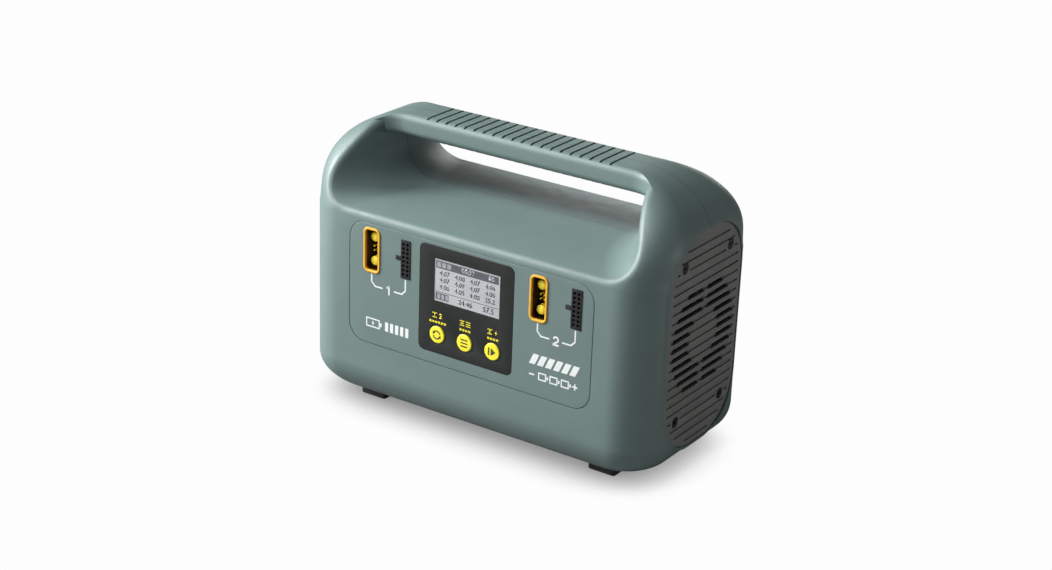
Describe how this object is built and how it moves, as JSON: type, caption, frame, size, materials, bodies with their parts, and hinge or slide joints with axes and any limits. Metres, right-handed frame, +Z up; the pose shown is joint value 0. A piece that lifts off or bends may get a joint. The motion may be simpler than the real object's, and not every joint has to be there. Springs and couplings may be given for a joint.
{
  "type": "balance battery charger",
  "caption": "Bench battery charger for model packs: handled grey-green case, front display and keys, yellow power outlets, balance ports, side fans behind grilles.",
  "frame": {"origin": "on the ground under the middle of the body", "axes": "+X to the right seen from the front, +Y from the front to the back, +Z up"},
  "size_m": [0.2762, 0.1391, 0.198],
  "materials": {
    "body_plastic": "fine moulded texture",
    "grille_plastic": "fine moulded texture",
    "bezel_plastic": "smooth",
    "screen_glass": "clear cover over a grey display",
    "button_plastic": "satin",
    "outlet_plastic": "satin",
    "gold_contact": "gold plated",
    "tin_contact": "tin plated",
    "black_plastic": "fine moulded texture",
    "dark_screw": "black zinc",
    "steel_screw": "zinc plated",
    "board_green": "solder mask",
    "foot_rubber": "matt",
    "ferrite": "dull",
    "winding_tape": "film tape",
    "capacitor_sleeve": "shrunk sleeve",
    "heat_sink_metal": "extruded",
    "wire_insulation": "smooth insulation",
    "fuse_glass": "clear"
  },
  "bodies": {
    "charger": {"ac_inlet": "black_plastic", "balance_pins_1": "tin_contact", "balance_pins_2": "tin_contact", "balance_port_1": "black_plastic", "balance_port_2": "black_plastic", "capacitors": "capacitor_sleeve", "control_board": "board_green", "control_board_screws": "steel_screw", "control_chips": "black_plastic", "display_bezel": "bezel_plastic", "fan_leads": "wire_insulation", "fan_screws": "steel_screw", "filter_choke": "ferrite", "foot_front_left": "foot_rubber", "foot_front_right": "foot_rubber", "foot_rear_left": "foot_rubber", "foot_rear_right": "foot_rubber", "foot_screws": "steel_screw", "front_heat_sink": "heat_sink_metal", "front_panel": "body_plastic", "front_shell": "body_plastic", "grille_screws": "dark_screw", "inlet_blades": "tin_contact", "inlet_nuts": "steel_screw", "inlet_screws": "steel_screw", "lcd_module": "black_plastic", "lcd_window": "screen_glass", "left_fan_frame": "black_plastic", "left_grille": "grille_plastic", "mains_leads": "wire_insulation", "outlet_contacts_1": "gold_contact", "outlet_contacts_2": "gold_contact", "output_leads": "wire_insulation", "panel_screws": "steel_screw", "power_board": "board_green", "power_board_screws": "steel_screw", "power_outlet_1": "outlet_plastic", "power_outlet_2": "outlet_plastic", "power_transistors": "black_plastic", "rear_heat_sink": "heat_sink_metal", "rear_shell": "body_plastic", "ribbon_cable": "wire_insulation", "right_fan_frame": "black_plastic", "right_grille": "grille_plastic", "shell_screws": "steel_screw", "switch_body": "black_plastic", "tact_switches": "black_plastic", "transformer_core": "ferrite", "transformer_winding": "winding_tape"},
    "channel_key": {"channel_button": "button_plastic", "channel_plunger": "black_plastic"},
    "mode_key": {"mode_button": "button_plastic", "mode_plunger": "black_plastic"},
    "start_key": {"start_button": "button_plastic", "start_plunger": "black_plastic"},
    "left_fan": {"left_fan_rotor": "black_plastic"},
    "right_fan": {"right_fan_rotor": "black_plastic"},
    "switch_rocker": {"rocker": "black_plastic"},
    "fuse_holder": {"fuse_drawer": "black_plastic", "fuse": "fuse_glass"}
  },
  "joints": [
    {"name": "channel_press", "type": "slide", "parent": "charger", "child": "channel_key", "axis": [0, 1, 0], "range_m": [0, 0.0006]},
    {"name": "mode_press", "type": "slide", "parent": "charger", "child": "mode_key", "axis": [0, 1, 0], "range_m": [0, 0.0006]},
    {"name": "start_press", "type": "slide", "parent": "charger", "child": "start_key", "axis": [0, 1, 0], "range_m": [0, 0.0006]},
    {"name": "left_fan_spin", "type": "hinge", "parent": "charger", "child": "left_fan", "pos_m": [-0.121, 0, 0.0944], "axis": [1, 0, 0], "continuous": true},
    {"name": "right_fan_spin", "type": "hinge", "parent": "charger", "child": "right_fan", "pos_m": [0.121, 0, 0.0944], "axis": [1, 0, 0], "continuous": true},
    {"name": "rocker_tilt", "type": "hinge", "parent": "charger", "child": "switch_rocker", "pos_m": [0.02, 0.0642, 0.062], "axis": [1, 0, 0], "range_deg": [-20, 0]},
    {"name": "fuse_drawer_slide", "type": "slide", "parent": "charger", "child": "fuse_holder", "axis": [0, 1, 0], "range_m": [0, 0.016]}
  ]
}
